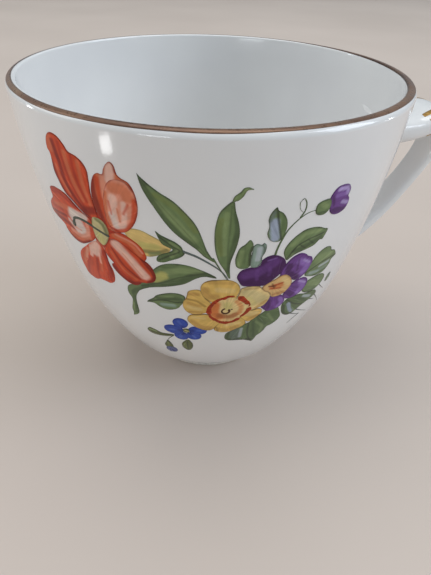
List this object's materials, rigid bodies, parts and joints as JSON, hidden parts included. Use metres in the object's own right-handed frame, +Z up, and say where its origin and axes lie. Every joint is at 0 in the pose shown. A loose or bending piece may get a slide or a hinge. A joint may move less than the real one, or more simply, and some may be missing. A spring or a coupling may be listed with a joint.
{
  "type": "teacup",
  "caption": "White glazed porcelain teacup with a tapering bowl on a low foot, a strap handle, a brown line on the lip and a painted flower spray.",
  "frame": {"origin": "on the cup's axis, at the plane the foot stands on", "axes": "+Z up along the cup's axis, +X towards the handle, so the painted front faces -Y"},
  "size_m": [0.1028, 0.0818, 0.0719],
  "materials": {
    "white_glaze": "clear gloss glaze over white porcelain",
    "biscuit": "bare matt porcelain",
    "lip_colour": "fired brown and gilt line",
    "gilding": "fired gold brush strokes",
    "green_enamel": "glossy overglaze enamel",
    "orange_enamel": "glossy overglaze enamel",
    "yellow_enamel": "glossy overglaze enamel",
    "purple_enamel": "glossy overglaze enamel",
    "blue_enamel": "glossy overglaze enamel"
  },
  "bodies": {
    "root": {"bowl": "white_glaze", "foot_ring": "white_glaze", "unglazed_standing_edge": "biscuit", "rim_band": "lip_colour", "handle": "white_glaze", "upper_handle_joint": "white_glaze", "lower_handle_joint": "white_glaze", "handle_gilding": "gilding", "leaf_enamel": "green_enamel", "lily_enamel": "orange_enamel", "primrose_enamel": "yellow_enamel", "violet_enamel": "purple_enamel", "forget_me_not_enamel": "blue_enamel"}
  },
  "joints": []
}
